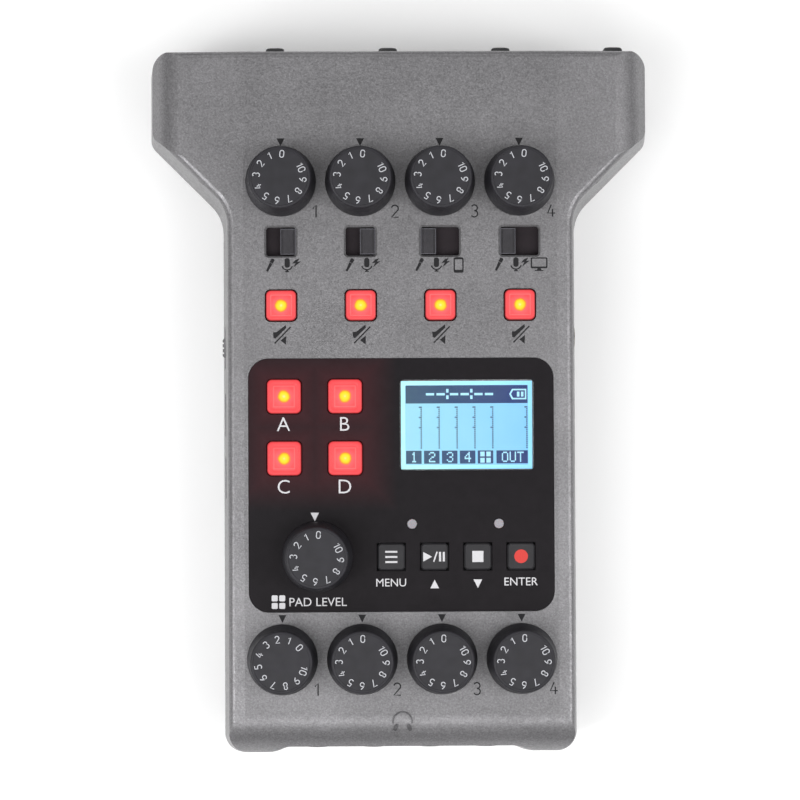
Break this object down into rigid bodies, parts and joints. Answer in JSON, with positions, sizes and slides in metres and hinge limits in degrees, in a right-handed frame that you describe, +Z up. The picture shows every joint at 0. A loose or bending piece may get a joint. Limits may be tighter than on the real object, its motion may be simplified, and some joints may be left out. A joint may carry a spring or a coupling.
{
  "type": "podcast recorder",
  "caption": "Desk audio recorder with gain knobs, lit mute buttons, sound pads, backlit display, keys, headphone knobs, latched microphone sockets, side ports and a battery bay",
  "frame": {"origin": "on the table under the middle of the unit, half way between the front edge and the tips of the rear latches", "axes": "+X to the user's right, +Y to the rear, where the microphone sockets are, +Z up out of the control surface"},
  "size_m": [0.112, 0.158, 0.047],
  "materials": {
    "case_grey": "satin metallic grey lacquer on moulded plastic",
    "panel_black": "high gloss black",
    "window_clear": "clear glossy window",
    "display_blue": "backlit display glass",
    "board_green": "solder mask",
    "socket_black": "moulded black",
    "contact_gold": "plated contacts",
    "port_steel": "stamped steel",
    "switch_black": "fine matt",
    "lamp_white": "lamp body",
    "lens_grey": "smoked lens",
    "cell_shell": "plain wrapped cell",
    "foot_rubber": "soft matt",
    "knob_black": "soft touch black",
    "button_red": "lit translucent red"
  },
  "bodies": {
    "case": {"battery_cells": "cell_shell", "battery_contacts": "port_steel", "bottom_case": "case_grey", "button_leds": "lamp_white", "card_socket": "port_steel", "case_screws": "port_steel", "control_panel": "panel_black", "display_lens": "window_clear", "headphone_jack_1": "socket_black", "headphone_jack_2": "socket_black", "headphone_jack_3": "socket_black", "headphone_jack_4": "socket_black", "indicator_lenses": "lens_grey", "lcd_module": "display_blue", "main_board": "board_green", "phone_jack": "socket_black", "potentiometers": "port_steel", "rubber_feet": "foot_rubber", "slide_switch_bodies": "switch_black", "tact_switches": "switch_black", "top_case": "case_grey", "usb_ports": "port_steel", "xlr_board": "board_green", "xlr_contacts": "contact_gold", "xlr_socket_1": "socket_black", "xlr_socket_2": "socket_black", "xlr_socket_3": "socket_black", "xlr_socket_4": "socket_black"},
    "gain_knob_1": {"gain_knob_1": "knob_black"},
    "gain_knob_2": {"gain_knob_2": "knob_black"},
    "gain_knob_3": {"gain_knob_3": "knob_black"},
    "gain_knob_4": {"gain_knob_4": "knob_black"},
    "pad_level_knob": {"pad_level_knob": "knob_black"},
    "phones_knob_1": {"phones_knob_1": "knob_black"},
    "phones_knob_2": {"phones_knob_2": "knob_black"},
    "phones_knob_3": {"phones_knob_3": "knob_black"},
    "phones_knob_4": {"phones_knob_4": "knob_black"},
    "input_switch_1": {"input_switch_1": "switch_black"},
    "input_switch_2": {"input_switch_2": "switch_black"},
    "input_switch_3": {"input_switch_3": "switch_black"},
    "input_switch_4": {"input_switch_4": "switch_black"},
    "mute_button_1": {"mute_button_1": "button_red"},
    "mute_button_2": {"mute_button_2": "button_red"},
    "mute_button_3": {"mute_button_3": "button_red"},
    "mute_button_4": {"mute_button_4": "button_red"},
    "pad_button_a": {"pad_button_a": "button_red"},
    "pad_button_b": {"pad_button_b": "button_red"},
    "pad_button_c": {"pad_button_c": "button_red"},
    "pad_button_d": {"pad_button_d": "button_red"},
    "menu_button": {"menu_button": "switch_black"},
    "play_button": {"play_button": "switch_black"},
    "stop_button": {"stop_button": "switch_black"},
    "record_button": {"record_button": "switch_black"},
    "power_switch": {"power_switch": "case_grey"},
    "battery_cover": {"battery_cover": "case_grey"},
    "card_cover": {"card_cover": "case_grey"},
    "xlr_latch_1": {"xlr_latch_1": "socket_black"},
    "xlr_latch_2": {"xlr_latch_2": "socket_black"},
    "xlr_latch_3": {"xlr_latch_3": "socket_black"},
    "xlr_latch_4": {"xlr_latch_4": "socket_black"}
  },
  "joints": [
    {"name": "gain_knob_1_turn", "type": "hinge", "parent": "case", "child": "gain_knob_1", "pos_m": [-0.02625, 0.0481, 0.037], "axis": [0, 0, 1], "range_deg": [-294, 6]},
    {"name": "gain_knob_2_turn", "type": "hinge", "parent": "case", "child": "gain_knob_2", "pos_m": [-0.00875, 0.0481, 0.037], "axis": [0, 0, 1], "range_deg": [-294, 6]},
    {"name": "gain_knob_3_turn", "type": "hinge", "parent": "case", "child": "gain_knob_3", "pos_m": [0.00875, 0.0481, 0.037], "axis": [0, 0, 1], "range_deg": [-294, 6]},
    {"name": "gain_knob_4_turn", "type": "hinge", "parent": "case", "child": "gain_knob_4", "pos_m": [0.02625, 0.0481, 0.037], "axis": [0, 0, 1], "range_deg": [-294, 6]},
    {"name": "pad_level_knob_turn", "type": "hinge", "parent": "case", "child": "pad_level_knob", "pos_m": [-0.0185, -0.0344, 0.037], "axis": [0, 0, 1], "range_deg": [-296, 4]},
    {"name": "phones_knob_1_turn", "type": "hinge", "parent": "case", "child": "phones_knob_1", "pos_m": [-0.02625, -0.0569, 0.037], "axis": [0, 0, 1], "range_deg": [-250, 50]},
    {"name": "phones_knob_2_turn", "type": "hinge", "parent": "case", "child": "phones_knob_2", "pos_m": [-0.00875, -0.0569, 0.037], "axis": [0, 0, 1], "range_deg": [-299, 1]},
    {"name": "phones_knob_3_turn", "type": "hinge", "parent": "case", "child": "phones_knob_3", "pos_m": [0.00875, -0.0569, 0.037], "axis": [0, 0, 1], "range_deg": [-299, 1]},
    {"name": "phones_knob_4_turn", "type": "hinge", "parent": "case", "child": "phones_knob_4", "pos_m": [0.02625, -0.0569, 0.037], "axis": [0, 0, 1], "range_deg": [-299, 1]},
    {"name": "input_switch_1_slide", "type": "slide", "parent": "case", "child": "input_switch_1", "axis": [1, 0, 0], "range_m": [-0.00315, 0]},
    {"name": "input_switch_2_slide", "type": "slide", "parent": "case", "child": "input_switch_2", "axis": [1, 0, 0], "range_m": [-0.00315, 0]},
    {"name": "input_switch_3_slide", "type": "slide", "parent": "case", "child": "input_switch_3", "axis": [1, 0, 0], "range_m": [0, 0.0051]},
    {"name": "input_switch_4_slide", "type": "slide", "parent": "case", "child": "input_switch_4", "axis": [1, 0, 0], "range_m": [0, 0.0051]},
    {"name": "mute_button_1_press", "type": "slide", "parent": "case", "child": "mute_button_1", "axis": [0, 0, -1], "range_m": [0, 0.0007], "stiffness_N_per_m": 200, "springref_m": -0.002},
    {"name": "mute_button_2_press", "type": "slide", "parent": "case", "child": "mute_button_2", "axis": [0, 0, -1], "range_m": [0, 0.0007], "stiffness_N_per_m": 200, "springref_m": -0.002},
    {"name": "mute_button_3_press", "type": "slide", "parent": "case", "child": "mute_button_3", "axis": [0, 0, -1], "range_m": [0, 0.0007], "stiffness_N_per_m": 200, "springref_m": -0.002},
    {"name": "mute_button_4_press", "type": "slide", "parent": "case", "child": "mute_button_4", "axis": [0, 0, -1], "range_m": [0, 0.0007], "stiffness_N_per_m": 200, "springref_m": -0.002},
    {"name": "pad_button_a_press", "type": "slide", "parent": "case", "child": "pad_button_a", "axis": [0, 0, -1], "range_m": [0, 0.0007], "stiffness_N_per_m": 200, "springref_m": -0.002},
    {"name": "pad_button_b_press", "type": "slide", "parent": "case", "child": "pad_button_b", "axis": [0, 0, -1], "range_m": [0, 0.0007], "stiffness_N_per_m": 200, "springref_m": -0.002},
    {"name": "pad_button_c_press", "type": "slide", "parent": "case", "child": "pad_button_c", "axis": [0, 0, -1], "range_m": [0, 0.0007], "stiffness_N_per_m": 200, "springref_m": -0.002},
    {"name": "pad_button_d_press", "type": "slide", "parent": "case", "child": "pad_button_d", "axis": [0, 0, -1], "range_m": [0, 0.0007], "stiffness_N_per_m": 200, "springref_m": -0.002},
    {"name": "menu_button_press", "type": "slide", "parent": "case", "child": "menu_button", "axis": [0, 0, -1], "range_m": [0, 0.0005], "stiffness_N_per_m": 200, "springref_m": -0.002},
    {"name": "play_button_press", "type": "slide", "parent": "case", "child": "play_button", "axis": [0, 0, -1], "range_m": [0, 0.0005], "stiffness_N_per_m": 200, "springref_m": -0.002},
    {"name": "stop_button_press", "type": "slide", "parent": "case", "child": "stop_button", "axis": [0, 0, -1], "range_m": [0, 0.0005], "stiffness_N_per_m": 200, "springref_m": -0.002},
    {"name": "record_button_press", "type": "slide", "parent": "case", "child": "record_button", "axis": [0, 0, -1], "range_m": [0, 0.0005], "stiffness_N_per_m": 200, "springref_m": -0.002},
    {"name": "power_switch_slide", "type": "slide", "parent": "case", "child": "power_switch", "axis": [0, 1, 0], "range_m": [-0.0024, 0.0024]},
    {"name": "battery_cover_slide", "type": "slide", "parent": "case", "child": "battery_cover", "axis": [0, -1, 0], "range_m": [0, 0.05]},
    {"name": "card_cover_hinge", "type": "hinge", "parent": "case", "child": "card_cover", "pos_m": [0.0386, -0.008, 0.0215], "axis": [0, 1, 0], "range_deg": [0, 95]},
    {"name": "xlr_latch_1_press", "type": "slide", "parent": "case", "child": "xlr_latch_1", "axis": [0, -1, 0], "range_m": [0, 0.0015], "stiffness_N_per_m": 300, "springref_m": -0.002},
    {"name": "xlr_latch_2_press", "type": "slide", "parent": "case", "child": "xlr_latch_2", "axis": [0, -1, 0], "range_m": [0, 0.0015], "stiffness_N_per_m": 300, "springref_m": -0.002},
    {"name": "xlr_latch_3_press", "type": "slide", "parent": "case", "child": "xlr_latch_3", "axis": [0, -1, 0], "range_m": [0, 0.0015], "stiffness_N_per_m": 300, "springref_m": -0.002},
    {"name": "xlr_latch_4_press", "type": "slide", "parent": "case", "child": "xlr_latch_4", "axis": [0, -1, 0], "range_m": [0, 0.0015], "stiffness_N_per_m": 300, "springref_m": -0.002}
  ]
}
